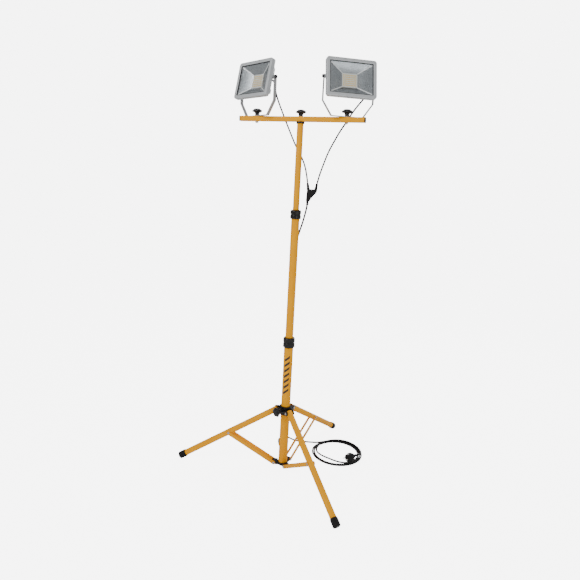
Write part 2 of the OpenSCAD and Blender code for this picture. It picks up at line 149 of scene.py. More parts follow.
def make_floor():
    """A pale floor that curves up into a backdrop."""
    bend_start, bend_radius, bend_steps = 4.5, 4.0, 16
    front, wall_top, half_width = -12.0, 12.0, 14.0
    outline = [(front, 0.0), (bend_start, 0.0)]
    for i in range(1, bend_steps + 1):
        a = math.radians(90 * i / bend_steps)
        outline.append((bend_start + bend_radius * math.sin(a), bend_radius * (1 - math.cos(a))))
    outline.append((bend_start + bend_radius, wall_top))
    verts = [(s * half_width, y, z) for y, z in outline for s in (-1, 1)]
    faces = [(2 * i, 2 * i + 1, 2 * i + 3, 2 * i + 2) for i in range(len(outline) - 1)]
    mesh = bpy.data.meshes.new("floor")
    mesh.from_pydata(verts, [], faces)
    mesh.shade_smooth()
    mesh.materials.append(paper_of("paper"))
    floor = bpy.data.objects.new("floor", mesh)
    bpy.context.scene.collection.objects.link(floor)


def make_studio():
    """The floor, a plain white sky and three soft lights."""
    make_floor()
    world = bpy.data.worlds.new("studio")
    world.use_nodes = True
    tree = world.node_tree
    background = tree.nodes["Background"]
    background.inputs["Color"].default_value = (1, 1, 1, 1)
    tree.links.new(glow(tree, SKY_LIGHT), background.inputs["Strength"])
    bpy.context.scene.world = world
    area_light("key", place=(-1.6, -3.0, 3.0), target=(0, 0, 1.2), size=1.6, power=58)
    area_light("fill", place=(2.6, -2.4, 1.6), target=(0, 0, 1.0), size=1.8, power=20)
    area_light("rim", place=(1.2, 2.6, 2.8), target=(0, 0, 1.2), size=1.4, power=34)


# ---- Materials ----
# How fine the noise is that breaks up worn edges and spreads dust, in cells per metre
CHIP_SCALE = 260.0
DUST_SCALE = 120.0


def node_of(tree, kind, **values):
    """A new shader node with its inputs or its properties set by name."""
    made = tree.nodes.new(kind)
    for name, value in values.items():
        if name in made.inputs:
            made.inputs[name].default_value = value
        else:
            setattr(made, name, value)
    return made


def noise(tree, scale, detail=4.0, stretch=(1, 1, 1)):
    """Noise on the piece's own coordinates, in cells per metre."""
    coords = node_of(tree, "ShaderNodeTexCoord")
    mapping = node_of(tree, "ShaderNodeMapping")
    mapping.inputs["Scale"].default_value = stretch
    tree.links.new(coords.outputs["Object"], mapping.inputs["Vector"])
    made = node_of(tree, "ShaderNodeTexNoise", Scale=scale, Detail=detail)
    tree.links.new(mapping.outputs["Vector"], made.inputs["Vector"])
    return made.outputs["Fac"]


def spread(tree, source, low, high, start=0.3, end=0.7):
    """The source's middle range stretched between two values."""
    made = node_of(tree, "ShaderNodeMapRange")
    made.inputs["From Min"].default_value = start
    made.inputs["From Max"].default_value = end
    made.inputs["To Min"].default_value = low
    made.inputs["To Max"].default_value = high
    tree.links.new(source, made.inputs["Value"])
    return made.outputs["Result"]


def mixed(tree, factor, a, b):
    """A colour between a and b by factor. Either may be a colour or a socket."""
    made = node_of(tree, "ShaderNodeMix", data_type="RGBA")
    tree.links.new(factor, made.inputs["Factor"])
    for value, socket in ((a, made.inputs["A"]), (b, made.inputs["B"])):
        if isinstance(value, tuple):
            socket.default_value = (*value, 1)
        else:
            tree.links.new(value, socket)
    return made.outputs["Result"]


def shade(colour, factor):
    """The colour made darker or lighter, with no channel above 1."""
    return tuple(min(1.0, c * factor) for c in colour)


def finish_of(name, colour, rough, metallic=0.0, vary=0.08, patch=30.0, grain=900.0, bump=0.1,
              depth=0.0002, wear=None, wear_start=0.53, wear_end=0.6, stretch=(1, 1, 1), coat=0.0,
              specular=0.5, dust=None):
    """A material with patchy colour, uneven gloss, a fine grain, worn edges and a little dust."""
    made = bpy.data.materials.new(name)
    made.use_nodes = True
    tree = made.node_tree
    shader = tree.nodes["Principled BSDF"]
    shader.inputs["Metallic"].default_value = metallic
    shader.inputs["Specular IOR Level"].default_value = specular
    shader.inputs["Coat Weight"].default_value = coat
    shader.inputs["Coat Roughness"].default_value = 0.12
    patches = spread(tree, noise(tree, patch), 0, 1)
    base = mixed(tree, patches, shade(colour, 1 - vary), shade(colour, 1 + vary))
    if wear:
        geometry = node_of(tree, "ShaderNodeNewGeometry")
        edges = spread(tree, geometry.outputs["Pointiness"], 0, 1, wear_start, wear_end)
        broken = node_of(tree, "ShaderNodeMath", operation="MULTIPLY")
        tree.links.new(edges, broken.inputs[0])
        tree.links.new(spread(tree, noise(tree, CHIP_SCALE), 0, 1, 0.45, 0.62), broken.inputs[1])
        base = mixed(tree, broken.outputs[0], base, wear)
    if dust:
        specks = spread(tree, noise(tree, DUST_SCALE, 6.0), 0, 0.25, 0.55, 0.8)
        base = mixed(tree, specks, base, dust)
    tree.links.new(base, shader.inputs["Base Color"])
    gloss = spread(tree, noise(tree, patch * 3, 5.0, stretch), rough * 0.85, min(1.0, rough * 1.2))
    tree.links.new(gloss, shader.inputs["Roughness"])
    relief = node_of(tree, "ShaderNodeBump")
    relief.inputs["Strength"].default_value = bump
    relief.inputs["Distance"].default_value = depth
    tree.links.new(noise(tree, grain, 3.0, stretch), relief.inputs["Height"])
    tree.links.new(relief.outputs["Normal"], shader.inputs["Normal"])
    return made


def glass_of(name):
    """Clear glass that lets shadow and diffuse rays straight through to what is behind it."""
    made = bpy.data.materials.new(name)
    made.use_nodes = True
    tree = made.node_tree
    shader = tree.nodes["Principled BSDF"]
    shader.inputs["Base Color"].default_value = (0.96, 0.98, 0.98, 1)
    shader.inputs["Transmission Weight"].default_value = 1.0
    shader.inputs["IOR"].default_value = 1.45
    smears = spread(tree, noise(tree, 40.0, 6.0), 0.0, 0.05, 0.4, 0.8)
    tree.links.new(smears, shader.inputs["Roughness"])
    clear = node_of(tree, "ShaderNodeBsdfTransparent")
    path = node_of(tree, "ShaderNodeLightPath")
    lets = node_of(tree, "ShaderNodeMath", operation="MAXIMUM")
    tree.links.new(path.outputs["Is Shadow Ray"], lets.inputs[0])
    tree.links.new(path.outputs["Is Diffuse Ray"], lets.inputs[1])
    mix = node_of(tree, "ShaderNodeMixShader")
    tree.links.new(lets.outputs[0], mix.inputs[0])
    tree.links.new(shader.outputs[0], mix.inputs[1])
    tree.links.new(clear.outputs[0], mix.inputs[2])
    tree.links.new(mix.outputs[0], tree.nodes["Material Output"].inputs["Surface"])
    return made


YELLOW = finish_of("yellow_powder_coat", (1.0, 0.41, 0.0), 0.42, vary=0.05, patch=14, grain=700, bump=0.16,
                   depth=0.0004, wear=(0.42, 0.33, 0.2), wear_start=0.56, wear_end=0.66, coat=0.03,
                   specular=0.1, dust=(0.9, 0.4, 0.02))
GREY = finish_of("grey_cast_coat", (0.56, 0.58, 0.595), 0.42, metallic=0.25, vary=0.05, patch=45, grain=1300,
                 bump=0.25, depth=0.0003, wear=(0.72, 0.73, 0.74), wear_start=0.55, wear_end=0.65)
STRIP = finish_of("bracket_steel", (0.42, 0.425, 0.43), 0.4, metallic=0.55, vary=0.08, patch=60, grain=900,
                  bump=0.15, wear=(0.6, 0.6, 0.6))
ZINC = finish_of("zinc_steel", (0.55, 0.55, 0.53), 0.3, metallic=1.0, vary=0.14, patch=180, grain=1500,
                 bump=0.12, dust=(0.35, 0.33, 0.28))
DARK_STEEL = finish_of("blackened_steel", (0.06, 0.06, 0.065), 0.35, metallic=0.8, vary=0.2, patch=200,
                       grain=1400, bump=0.12, wear=(0.4, 0.4, 0.4))
GLOSS = finish_of("black_gloss_plastic", (0.004, 0.004, 0.0045), 0.24, vary=0.3, patch=40, grain=1100,
                  bump=0.08, wear=(0.03, 0.03, 0.032), coat=0.12, specular=0.35, dust=(0.016, 0.016, 0.015))
MATTE = finish_of("black_moulded_plastic", (0.005, 0.005, 0.006), 0.4, vary=0.25, patch=50, grain=1600,
                  bump=0.22, wear=(0.03, 0.03, 0.032), specular=0.3, dust=(0.018, 0.017, 0.016))
RUBBER = finish_of("black_rubber", (0.006, 0.006, 0.0065), 0.6, vary=0.3, patch=70, grain=1400, bump=0.3,
                   wear=(0.02, 0.02, 0.02), specular=0.25, dust=(0.025, 0.024, 0.022))
JACKET = finish_of("cord_jacket", (0.004, 0.004, 0.0045), 0.45, vary=0.3, patch=60, grain=800, bump=0.12,
                   specular=0.3, dust=(0.012, 0.012, 0.012))
NYLON = finish_of("nylon", (0.72, 0.71, 0.66), 0.5, vary=0.05, patch=90, grain=1200, bump=0.15)
IVORY = finish_of("potted_driver", (0.74, 0.7, 0.58), 0.5, vary=0.05, patch=90, grain=900, bump=0.15)
MIRROR = finish_of("bright_reflector", (0.40, 0.42, 0.445), 0.3, metallic=1.0, vary=0.07, patch=25, grain=260,
                   bump=0.1, depth=0.0003, stretch=(6, 6, 0.5))
# The reflector's folded seams are real, but their near-white colour is a painted glint along each corner
# fold.
SEAM_GLINT = finish_of("folded_seam_painted_glint", (0.95, 0.96, 0.97), 0.3, metallic=0.15, vary=0.04, patch=60, grain=500,
                 bump=0.08)
BOARD = finish_of("white_board", (0.8, 0.79, 0.74), 0.4, vary=0.03, patch=90, grain=1500, bump=0.06)
PHOSPHOR = finish_of("led_phosphor", (0.9, 0.58, 0.1), 0.35, vary=0.1, patch=300, grain=2500, bump=0.1)
PINS = finish_of("nickel_pins", (0.72, 0.71, 0.68), 0.18, metallic=1.0, vary=0.06, patch=200, grain=1500,
                 bump=0.08)
STRIPE = finish_of("stripe_film", (0.016, 0.016, 0.017), 0.3, vary=0.2, patch=60, grain=900, bump=0.06)
GLASS = glass_of("clear_glass")


# ---- Mesh building ----
# An edge is crisp from this angle on.
SHARP = math.radians(32)
# A CAD mesh's points closer than this are one, its faces flatter than this join, and its edges sharper
# than this are eased.
WELD = 2e-6
FLAT = math.radians(0.6)
CORNER = math.radians(40)


def solid(name, bm, material, sharp=SHARP):
    """Turns a bmesh into an object with outward normals and crisp edges where it is sharp."""
    bmesh.ops.recalc_face_normals(bm, faces=bm.faces)
    for edge in bm.edges:
        edge.smooth = edge.calc_face_angle(math.pi) < sharp
    for face in bm.faces:
        face.smooth = True
    mesh = bpy.data.meshes.new(name)
    bm.to_mesh(mesh)
    bm.free()
    mesh.materials.append(material)
    made = bpy.data.objects.new(name, mesh)
    bpy.context.scene.collection.objects.link(made)
    return made


def skin(bm, rings, place=Matrix.Identity(4), loop=False):
    """Adds a closed surface through rings of equally many points, capped, or joined last to first."""
    rows = [[bm.verts.new(place @ Vector(p)) for p in ring] for ring in rings]
    n = len(rows[0])
    for i in range(len(rows) if loop else len(rows) - 1):
        a, b = rows[i], rows[(i + 1) % len(rows)]
        for j in range(n):
            k = (j + 1) % n
            bm.faces.new((a[j], a[k], b[k], b[j]))
    if not loop:
        bm.faces.new(rows[0][::-1])
        bm.faces.new(rows[-1])
    return bm


def rounded(points, size, steps=3, loop=False):
    """The outline with each corner turned into a short curve that starts size before it."""
    most_of_side = 0.45
    made = []
    last = len(points) - 1
    for i, p in enumerate(points):
        if not loop and i in (0, last):
            made.append(tuple(p))
            continue
        here, before, after = Vector(p), Vector(points[i - 1]), Vector(points[(i + 1) % len(points)])
        start = here + (before - here).normalized() * min(size, most_of_side * (before - here).length)
        end = here + (after - here).normalized() * min(size, most_of_side * (after - here).length)
        for s in range(steps + 1):
            t = s / steps
            made.append(tuple(start * (1 - t) ** 2 + here * 2 * t * (1 - t) + end * t * t))
    return made


def lathe(bm, profile, place=Matrix.Identity(4), steps=48, loop=False, shape=None):
    """Adds a turned shape. The profile holds (radius, height), and shape may change a radius by its angle."""
    rings = []
    for r, z in profile:
        ring = []
        for j in range(steps):
            a = 2 * math.pi * j / steps
            here = shape(a, r, z) if shape else r
            ring.append((here * math.cos(a), here * math.sin(a), z))
        rings.append(ring)
    return skin(bm, rings, place, loop)


def rectangle(w, h, r, steps=5):
    """A rectangle's outline with round corners, about the origin."""
    made = []
    for cx, cy, start in ((1, 1, 0), (-1, 1, 90), (-1, -1, 180), (1, -1, 270)):
        for s in range(steps + 1):
            a = math.radians(start + 90 * s / steps)
            made.append((cx * (w / 2 - r) + r * math.cos(a), cy * (h / 2 - r) + r * math.sin(a)))
    return made


def prism(bm, outline, low, high, place=Matrix.Identity(4), edge=0.0004):
    """Adds an outline extruded along z, with its rims eased by a small chamfer."""
    centre = sum((Vector(p) for p in outline), Vector((0, 0))) / len(outline)
    def ring(z, inset):
        made = []
        for p in outline:
            v = Vector(p) - centre
            v = v * (1 - inset / max(v.length, 1e-6)) + centre
            made.append((v.x, v.y, z))
        return made
    return skin(bm, [ring(low, edge), ring(low + edge, 0), ring(high - edge, 0), ring(high, edge)], place)


def polished(node, material, edge=0.0005):
    """A smooth copy of a CAD node with its sharp edges eased, which stands for it."""
    bm = bmesh.new()
    bm.from_mesh(frame["nodes"][node].data)
    bmesh.ops.remove_doubles(bm, verts=bm.verts, dist=WELD)
    bmesh.ops.dissolve_limit(bm, angle_limit=FLAT, verts=bm.verts, edges=bm.edges)
    corners = [e for e in bm.edges if e.is_manifold and e.calc_face_angle(0) > CORNER]
    bmesh.ops.bevel(bm, geom=corners, offset=edge, segments=2, profile=0.5, affect="EDGES",
                    clamp_overlap=True)
    stands_for(solid(node + "_body", bm, material), node)


def stands_for(piece, node):
    """The piece takes a CAD node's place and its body."""
    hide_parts(node)
    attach(piece, frame["nodes"][node]["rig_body"])
    return piece


def goes_with(piece, node):
    """The piece is a detail on the body that holds a CAD node."""
    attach(piece, frame["nodes"][node]["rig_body"])


def facing(origin, z_axis, y_hint=(0, 1, 0)):
    """A placement at origin whose z looks along z_axis."""
    z = Vector(z_axis).normalized()
    x = Vector(y_hint).cross(z).normalized()
    y = z.cross(x)
    return Matrix.Translation(origin) @ Matrix((x, y, z)).transposed().to_4x4()


# ---- Cords ----
CORD_D = 0.0085
PIGTAIL_D = 0.0075
# The points that each cord runs through, from its upper end. They are the CAD cords' points.
LEFT_ROUTE = [
    (-0.1496, -0.0098, 1.854), (-0.146, -0.0118, 1.854), (-0.1355, -0.017, 1.8516),
    (-0.1264, -0.0215, 1.8446), (-0.12, -0.0245, 1.834), (-0.117, -0.0255, 1.822), (-0.115, -0.023, 1.807),
    (-0.113, -0.016, 1.791), (-0.11, -0.006, 1.775), (-0.104, 0.004, 1.754), (-0.095, 0.012, 1.73),
    (-0.085, 0.0175, 1.705), (-0.074, 0.02, 1.681), (-0.052, 0.023, 1.634), (-0.026, 0.025, 1.582),
    (0.004, 0.024, 1.534), (0.025, 0.022, 1.49), (0.036, 0.021, 1.45), (0.043, 0.021, 1.414),
]
RIGHT_ROUTE = [
    (0.2451, 0.0441, 1.854), (0.2483, 0.046, 1.854), (0.2588, 0.0522, 1.8516), (0.2676, 0.0574, 1.8446),
    (0.273, 0.0615, 1.834), (0.275, 0.0635, 1.821), (0.273, 0.064, 1.807), (0.267, 0.063, 1.793),
    (0.258, 0.06, 1.779), (0.246, 0.054, 1.762), (0.234, 0.0465, 1.744), (0.221, 0.038, 1.722),
    (0.209, 0.031, 1.7), (0.198, 0.026, 1.679), (0.176, 0.023, 1.643), (0.153, 0.022, 1.6),
    (0.13, 0.022, 1.553), (0.111, 0.022, 1.5), (0.096, 0.021, 1.452), (0.087, 0.021, 1.414),
]
MAIN_ROUTE = [
    (0.046, 0.021, 1.318), (0.043, 0.022, 1.297), (0.037, 0.023, 1.27), (0.028, 0.026, 1.236),
    (0.015, 0.029, 1.195), (0.002, 0.032, 1.154), (-0.009, 0.033, 1.112), (-0.015, 0.032, 1.066),
    (-0.019, 0.03, 1), (-0.02, 0.029, 0.9), (-0.021, 0.028, 0.78), (-0.021, 0.028, 0.66),
    (-0.021, 0.028, 0.54), (-0.021, 0.028, 0.4), (-0.021, 0.028, 0.28), (-0.021, 0.028, 0.16),
    (-0.021, 0.029, 0.1), (-0.023, 0.033, 0.066), (-0.027, 0.042, 0.036), (-0.032, 0.06, 0.013),
    (-0.038, 0.086, 0.005), (-0.05, 0.124, 0.005), (-0.07, 0.166, 0.005), (-0.089, 0.203, 0.005),
    (-0.101, 0.235, 0.005), (-0.102, 0.252, 0.005), (-0.095, 0.269, 0.005), (-0.082, 0.28, 0.005),
    (-0.065, 0.284, 0.005), (-0.049, 0.28, 0.005), (-0.035, 0.273, 0.005), (-0.011, 0.267, 0.005),
    (0.013, 0.269, 0.005), (0.038, 0.273, 0.005), (0.068, 0.28, 0.005), (0.096, 0.288, 0.005),
    (0.118, 0.3, 0.005),
]
# The coil on the floor: its middle, the angle at which the cord comes in and its outer turn's radius
COIL_CENTRE = Vector((0.232, 0.230, 0))
COIL_ENTRY = math.radians(134)
COIL_OUTER = 0.1305
# The plug: where it lies, which way its tail points, where the tail ends and how straight the cord enters it
PLUG_AT = Vector((0.317, 0.142, 0.041))
PLUG_TURN = math.radians(52)
TAIL_LENGTH = 0.046
TAIL_STRAIGHT = 0.014
# The cord between the coil and the plug, by its angle in degrees round the coil, its radius and its height
LAST_CURL = [(55, 0.1255, 0.0135), (35, 0.126, 0.0137), (15, 0.127, 0.0165), (-5, 0.1285, 0.028)]


def smoothed(points, step=0.004):
    """A fine line through the points, by centripetal Catmull-Rom spans."""
    pts = [Vector(p) for p in points]
    pts = [pts[0] * 2 - pts[1]] + pts + [pts[-1] * 2 - pts[-2]]
    made = []
    for a, b, c, d in zip(pts, pts[1:], pts[2:], pts[3:]):
        k0 = 0.0
        k1 = k0 + math.sqrt((b - a).length)
        k2 = k1 + math.sqrt((c - b).length)
        k3 = k2 + math.sqrt((d - c).length)
        count = max(2, round((c - b).length / step))
        for s in range(count):
            t = k1 + (k2 - k1) * s / count
            a1 = a * ((k1 - t) / (k1 - k0)) + b * ((t - k0) / (k1 - k0))
            a2 = b * ((k2 - t) / (k2 - k1)) + c * ((t - k1) / (k2 - k1))
            a3 = c * ((k3 - t) / (k3 - k2)) + d * ((t - k2) / (k3 - k2))
            b1 = a1 * ((k2 - t) / (k2 - k0)) + a2 * ((t - k0) / (k2 - k0))
            b2 = a2 * ((k3 - t) / (k3 - k1)) + a3 * ((t - k1) / (k3 - k1))
            made.append(b1 * ((k2 - t) / (k2 - k1)) + b2 * ((t - k1) / (k2 - k1)))
    made.append(pts[-2])
    return made


def tube(name, line, radius, material, sides=16):
    """A round tube along a fine line, with frames carried along it without twist."""
    bm = bmesh.new()
    rings = []
    # Any direction will do that no cord starts in.
    side = Vector((0.31, 0.95, 0.05))
    for i, p in enumerate(line):
        ahead = (line[min(i + 1, len(line) - 1)] - line[max(i - 1, 0)]).normalized()
        side = (side - ahead * side.dot(ahead)).normalized()
        other = ahead.cross(side)
        turns = [2 * math.pi * j / sides for j in range(sides)]
        rings.append([p + radius * (math.cos(a) * side + math.sin(a) * other) for a in turns])
    return solid(name, skin(bm, rings), material)


def ease(t):
    """A smooth step from 0 to 1 as t goes from 0 to 1."""
    t = min(1.0, max(0.0, t))
    return t * t * (3 - 2 * t)


def coil_line():
    """The coil's turns, from outside in: two round ones, an oval one, and an end that rises on top.

    u counts turns. Lengths along the coil are parts of a turn.
    """
    turns, steps = 3.17, 24
    gap, lift = CORD_D + 0.0006, 0.0005
    shifts, shift_length = (0.84, 1.84), 0.17
    entry_dip, entry_length = 0.004, 0.08
    oval_dip, oval_at, oval_half = 0.031, 2.672, 0.21
    end_out, out_at, out_length = 0.013, 2.98, 0.19
    end_rise, rise_at, rise_length = 0.0086, 2.86, 0.12
    made = []
    for i in range(round(turns * steps) + 1):
        u = i / steps
        a = COIL_ENTRY - 2 * math.pi * u
        r = COIL_OUTER - gap * sum(ease((u - s) / shift_length) for s in shifts)
        r -= entry_dip * (1 - ease(u / entry_length))
        if 2 < u < 3:
            into = (u - oval_at) / oval_half
            r -= oval_dip * math.cos(max(-1, min(1, into)) * math.pi / 2) ** 2
        r += end_out * ease((u - out_at) / out_length)
        z = 0.5 * CORD_D + lift + end_rise * ease((u - rise_at) / rise_length)
        made.append(COIL_CENTRE + Vector((r * math.cos(a), r * math.sin(a), z)))
    return made


def curl_line():
    """The cord after the coil, which runs on round it and rises to the plug, to a tenth of a millimetre."""
    made = []
    for angle, r, z in LAST_CURL:
        x = COIL_CENTRE.x + r * math.cos(math.radians(angle))
        y = COIL_CENTRE.y + r * math.sin(math.radians(angle))
        made.append((round(x, 4), round(y, 4), z))
    return made


def cord_part(name, route, diameter, bodies, nodes=()):
    """One stretch of cord: it rides on one body, or, between two bodies, stays where it is and rides on
    neither.
    """
    line = smoothed(route)
    made = tube(name, line, diameter / 2, JACKET)
    if nodes:
        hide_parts(*nodes)
    if len(bodies) == 2:
        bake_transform(made)
    else:
        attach(made, bodies[0])
    return made, line


def make_splitter():
    """The moulded joint of the two pigtails, with a straight side, a slanted side and ringed sleeves."""
    bm = bmesh.new()
    low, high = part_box("splitter")
    y = (low.y + high.y) / 2
    # Height, middle, width and depth of each section
    sections = [
        (1.334, 0.0480, 0.0150, 0.0130), (1.338, 0.0486, 0.0185, 0.0150), (1.344, 0.0500, 0.0210, 0.0160),
        (1.358, 0.0560, 0.0320, 0.0170), (1.372, 0.0630, 0.0440, 0.0176), (1.380, 0.0652, 0.0470, 0.0178),
        (1.386, 0.0652, 0.0460, 0.0170), (1.389, 0.0652, 0.0420, 0.0140),
    ]
    rings = []
    for z, x, w, d in sections:
        rings.append([(x + px, y + py, z) for px, py in rectangle(w, d, d * 0.44, 6)])
    skin(bm, rings)
    ribs = [(0.0056, 0.0), (0.0066, 0.001), (0.0066, 0.0035), (0.0056, 0.0045)]
    bottom = [(0.0045, 0)] + ribs + [(0.0058, 0.009), (0.0070, 0.018), (0.0076, 0.024), (0.004, 0.025)]
    lathe(bm, rounded(bottom, 0.0006, 2), Matrix.Translation((0.0465, y, 1.317)), 32)
    for x, lean in ((0.048, -9.5), (0.082, 9.5)):
        place = Matrix.Translation((x, y, 1.384)) @ Matrix.Rotation(math.radians(lean), 4, "Y")
        sleeve = [(0.0074, 0), (0.0068, 0.010)]
        for i in range(3):
            z = 0.011 + 0.006 * i
            thin = 0.0002 * i
            sleeve += [(0.0064 - thin, z), (0.0057 - thin, z + 0.0006), (0.0057 - thin, z + 0.0022),
                       (0.0064 - thin, z + 0.0028)]
        sleeve += [(0.0060, 0.0290), (0.0048, 0.0306)]
        lathe(bm, rounded(sleeve, 0.0004, 1), place, 32)
    return solid("cord_splitter", bm, RUBBER)


def make_plug():
    """A round moulded plug with grip ribs, a ringed tail, two pins and two earth strips."""
    ring_pitch, rib_depth, rib_count = 0.0052, 0.0007, 24
    pin_out, strip_out = 0.0095, 0.0194
    sideways = Matrix.Rotation(-math.pi / 2, 4, "Y")
    place = Matrix.Translation(PLUG_AT) @ Matrix.Rotation(PLUG_TURN, 4, "Z") @ sideways
    bm = bmesh.new()
    tail = [(0.0043, -0.048)]
    for i in range(4):
        z = -0.0478 + ring_pitch * i
        r = 0.0056 + 0.0006 * i
        tail += [(r, z), (r + 0.0002, z + 0.0030), (r - 0.0010, z + 0.0034), (r - 0.0010, z + 0.0048)]
    body = [(0.0095, -0.027), (0.0135, -0.0255), (0.0215, -0.011), (0.0225, -0.008), (0.0225, 0.002),
            (0.0212, 0.0035), (0.0195, 0.0050), (0.0195, 0.0165), (0.0185, 0.0172), (0.0150, 0.0172),
            (0.0145, 0.0150), (0.004, 0.0150)]

    def ribs(a, r, z):
        inside = ease((z + 0.024) / 0.008) * (1 - ease((z - 0.001) / 0.003))
        return r - rib_depth * inside * (0.5 + 0.5 * math.cos(rib_count * a))

    lathe(bm, rounded(tail + body, 0.0009, 2), place, 96, shape=ribs)
    made = solid("plug_body", bm, RUBBER)
    metal = bmesh.new()
    pin = rounded([(0.0024, 0.0148), (0.0024, 0.0335), (0.0020, 0.0352), (0.0010, 0.0360)], 0.0006, 2)
    for s in (-1, 1):
        lathe(metal, pin, place @ Matrix.Translation((0, s * pin_out, 0)), 24)
        beside = Matrix.Translation((s * strip_out, 0, 0.0105))
        strip = place @ beside @ Matrix.Rotation(math.pi / 2, 4, "Y")
        prism(metal, rectangle(0.011, 0.0055, 0.001, 3), -0.0006, 0.0006, strip, 0.0003)
    contacts = solid("plug_pins", metal, PINS)
    return made, contacts


def make_cords():
    """Both pigtails, the splitter, the main cord and its plug. Each cord is split where its body changes."""
    left_a = cord_part("left_pigtail_top", LEFT_ROUTE[:9], PIGTAIL_D, ("left_lamp", "left_bracket"))
    left_b = cord_part("left_pigtail_run", LEFT_ROUTE[8:], PIGTAIL_D, ("left_bracket", "bar"),
                       ["left_pigtail"])
    right_a = cord_part("right_pigtail_top", RIGHT_ROUTE[:9], PIGTAIL_D, ("right_lamp", "right_bracket"))
    right_b = cord_part("right_pigtail_run", RIGHT_ROUTE[8:], PIGTAIL_D, ("right_bracket", "bar"),
                        ["right_pigtail"])
    splitter = stands_for(make_splitter(), "splitter")
    top = cord_part("main_cord_top", MAIN_ROUTE[:4], CORD_D, ("bar", "top_mast"))
    upper = cord_part("main_cord_upper", MAIN_ROUTE[3:11], CORD_D, ("top_mast", "middle_mast"))
    lower = cord_part("main_cord_lower", MAIN_ROUTE[10:18], CORD_D, ("middle_mast", "stand"),
                      ["main_cord"])
    plug, contacts = make_plug()
    stands_for(plug, "plug")
    goes_with(contacts, "plug")
    out_of_plug = Vector((math.cos(PLUG_TURN), math.sin(PLUG_TURN), 0))
    tail_end = PLUG_AT + TAIL_LENGTH * out_of_plug
    end = [tail_end + TAIL_STRAIGHT * out_of_plug + Vector((0, 0, -0.0008)), tail_end]
    turns = [tuple(p) for p in coil_line()[1:]]
    floor_route = MAIN_ROUTE[17:] + turns + curl_line() + [tuple(p) for p in end]
    floor = cord_part("main_cord_floor", floor_route, CORD_D, ("stand",), ["cord_coil"])


# ---- Fasteners ----
def hexagon(width):
    """A hexagon's corners, from its width across flats."""
    corner = width / math.sqrt(3)
    angles = [math.radians(60 * i + 30) for i in range(6)]
    return [(corner * math.cos(a), corner * math.sin(a)) for a in angles]


def nut(bm, width, height, place):
    """A hexagon nut with its corners turned off."""
    rings = []
    for z, k in ((0, 0.94), (0.06, 1.0), (0.88, 1.0), (1.0, 0.94)):
        rings.append([(x * k, y * k, z * height) for x, y in hexagon(width)])
    skin(bm, rings, place)


def cross_bolt(bm, centre, direction, grip, shank_r, head_r, head_h):
    """A through bolt: a domed head with a washer at one end, a washer, nut and end at the other."""
    washer = [(shank_r, -0.001), (head_r + 0.001, 0), (head_r + 0.001, 0.0008), (shank_r, 0.0009)]
    dome = [(head_r, 0.0007)]
    for t in (0.0, 0.4, 0.8, 1.15, 1.4):
        dome.append((head_r * math.cos(t), 0.0009 + (head_h - 0.001) * math.sin(t)))
    tip = [(shank_r, 0), (shank_r, head_h), (shank_r * 0.7, head_h + 0.0004)]
    nut_w, nut_h = head_r * 1.72, head_h - 0.0012
    for sign in (-1, 1):
        place = facing(centre + Vector(direction) * sign * grip / 2, Vector(direction) * sign, (0, 0, 1))
        lathe(bm, rounded(washer, 0.0003, 1), place, 32)
        if sign < 0:
            lathe(bm, dome, place, 32)
        else:
            nut(bm, nut_w, nut_h, place @ Matrix.Translation((0, 0, 0.0007)))
            lathe(bm, rounded(tip, 0.0004, 2), place, 24)
    lathe(bm, [(shank_r, -grip / 2), (shank_r, grip / 2)], facing(centre, direction, (0, 0, 1)), 24)


# ---- Knobs and twist locks ----
def make_knob(node, place, stud):
    """A six-lobed hand knob on a fluted neck, with a collar under it and a threaded steel stud."""
    lobe_count, lobe_share = 6, 0.125
    flute_count, flute_depth = 12, 0.0007
    thread = 0.0014
    bm = bmesh.new()
    profile = [(0.0085, 0.0), (0.0098, 0.0006), (0.0100, 0.0030), (0.0094, 0.0050), (0.0096, 0.0080),
               (0.0108, 0.0115), (0.0150, 0.0138), (0.0212, 0.0150), (0.0236, 0.0164), (0.0242, 0.0190),
               (0.0236, 0.0216), (0.0212, 0.0238), (0.0180, 0.0250), (0.0160, 0.0262), (0.0140, 0.0282),
               (0.0100, 0.0292), (0.0040, 0.0296)]

    def lobes(a, r, z):
        wide = ease((r - 0.0125) / 0.008)
        flute = ease((z - 0.003) / 0.003) * (1 - ease((z - 0.011) / 0.003))
        hollow = (0.5 - 0.5 * math.cos(lobe_count * a)) ** 0.7
        return r * (1 - lobe_share * wide * hollow) - flute_depth * flute * math.cos(flute_count * a)

    lathe(bm, rounded(profile, 0.0012, 2), place, 96, shape=lobes)
    stands_for(solid(node + "_grip", bm, GLOSS, math.radians(50)), node)
    steel = bmesh.new()
    shank = [(0.0035, -stud), (0.004, -stud + 0.0006), (0.004, 0.001), (0.0035, 0.0012)]
    lathe(steel, rounded(shank, 0.0003, 1), place, 32)
    for i in range(int(stud / thread) - 2):
        z = -stud + 0.0012 + thread * i
        turn = [(0.0039, z), (0.0042, z + 0.0004), (0.0042, z + 0.0006), (0.0039, z + 0.001)]
        lathe(steel, turn, place, 24)
    collar = [(0.0042, -0.0011), (0.0098, -0.0010), (0.0098, 0.0), (0.0042, 0.0001)]
    lathe(steel, rounded(collar, 0.0003, 1), place @ Matrix.Translation((0, 0, 0.0011)), 40)
    goes_with(solid(node + "_stud", steel, ZINC), node)


